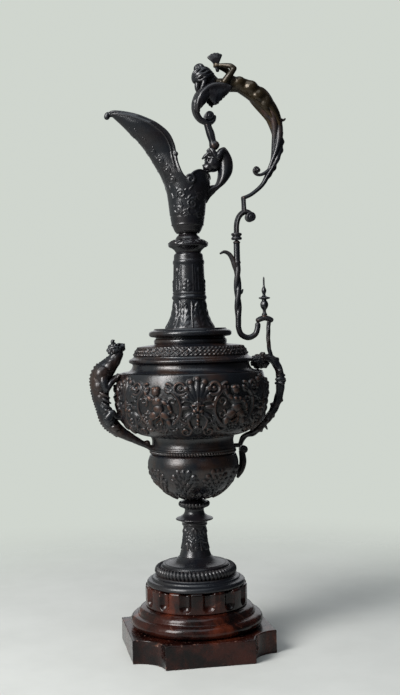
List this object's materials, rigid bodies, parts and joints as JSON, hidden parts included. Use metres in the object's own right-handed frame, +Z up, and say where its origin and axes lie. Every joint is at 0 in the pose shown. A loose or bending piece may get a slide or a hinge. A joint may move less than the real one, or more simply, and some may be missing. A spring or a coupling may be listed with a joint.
{
  "type": "ewer",
  "caption": "Tall cast bronze ewer with a long pouring lip, a scroll handle with a bent-back figure, a beast on its side and a turned red marble plinth.",
  "frame": {"origin": "centre of the plinth's underside, on the vessel's axis", "axes": "+Z up along the vessel's axis, -X towards the pouring lip, +X towards the handle"},
  "size_m": [0.2142, 0.1624, 0.6308],
  "materials": {
    "bronze": "dark brown to black patina over cast and chased bronze, worn warmer on high points",
    "bronze_rubbed": "bronze patina rubbed back to a golden brown",
    "marble": "polished dark red marble with purple-black clouds and pale flecks",
    "iron": "plain dull iron",
    "leather": "plain sealing leather"
  },
  "bodies": {
    "ewer": {"foot_plate": "bronze", "foot_dome": "bronze", "stem": "bronze", "stem_collar": "bronze", "stem_knop": "bronze", "bowl": "bronze", "girdle_ring": "bronze", "belly": "bronze", "shoulder_ring": "bronze", "shoulder_cap": "bronze", "neck_disc": "bronze", "neck_base": "bronze", "neck_band": "bronze", "neck_upper": "bronze", "neck_knop": "bronze", "mouth_spout": "bronze", "mouth_strap": "bronze", "strap_beast": "bronze", "link_rod": "bronze", "scroll_leaf": "bronze", "tail_scroll": "bronze", "step_scroll": "bronze", "handle_collar": "bronze", "handle_stem": "bronze", "stem_sprigs": "bronze", "saddle": "bronze", "branch_handle": "bronze", "branch_knot": "bronze", "branch_mask": "bronze", "leaf_terminal": "bronze", "drop_rod": "bronze", "creature_body": "bronze", "creature_head": "bronze", "creature_forelegs": "bronze", "creature_hindlegs": "bronze", "handle_rivets": "bronze", "creature_rivets": "bronze", "figure_head": "bronze", "held_shell": "bronze", "tail_arm": "bronze", "figure_torso": "bronze_rubbed", "figure_arms": "bronze_rubbed", "plinth_slab": "marble", "plinth_torus": "marble", "plinth_drum": "marble", "tie_rod": "iron", "base_washer": "iron", "base_nut": "iron", "bowl_nut": "iron", "finial_stud": "iron", "bowl_seal": "leather"},
    "finial": {"finial": "bronze"}
  },
  "joints": [
    {"name": "finial_turn", "type": "hinge", "parent": "ewer", "child": "finial", "pos_m": [0.0815, 0, 0.36], "axis": [0, 0, 1], "continuous": true}
  ]
}
